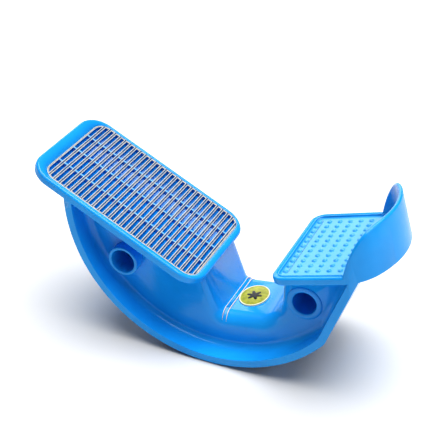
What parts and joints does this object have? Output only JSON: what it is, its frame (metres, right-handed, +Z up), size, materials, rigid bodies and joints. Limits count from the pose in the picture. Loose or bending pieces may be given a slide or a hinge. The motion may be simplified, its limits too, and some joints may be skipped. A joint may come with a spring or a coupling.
{
  "type": "foot rocker",
  "caption": "Blue plastic foot rocker for calf stretching: a toe plate with a massage grid, a cupped heel plate with small domes, and a curved sole.",
  "frame": {"origin": "middle of the bottom of the object's box, on the floor under the middle of its length and width", "axes": "+X from the toe end to the heel end, +Y across the foot to its left side, +Z up"},
  "size_m": [0.2754, 0.095, 0.1411],
  "materials": {
    "blue_polypropylene": "moulded, high gloss",
    "blue_polypropylene_sole": "moulded, satin",
    "grid_polypropylene": "moulded, gloss with pale worn edges",
    "dome_pad_plastic": "moulded, gloss",
    "badge_olive": "printed and domed",
    "badge_black": "printed and domed",
    "zinc_steel": "zinc plated",
    "tread_rubber": "moulded, matt"
  },
  "bodies": {
    "root": {"body_shell": "blue_polypropylene", "sole_plate": "blue_polypropylene_sole", "toe_massage_grid": "grid_polypropylene", "heel_dome_pad": "dome_pad_plastic", "toe_cross_tube": "blue_polypropylene", "heel_cross_tube": "blue_polypropylene", "badge_plate": "badge_olive", "badge_emblem": "badge_black", "sole_screws": "zinc_steel", "tread_strip_1": "tread_rubber", "tread_strip_2": "tread_rubber", "tread_strip_3": "tread_rubber", "tread_strip_4": "tread_rubber", "tread_strip_5": "tread_rubber"}
  },
  "joints": []
}
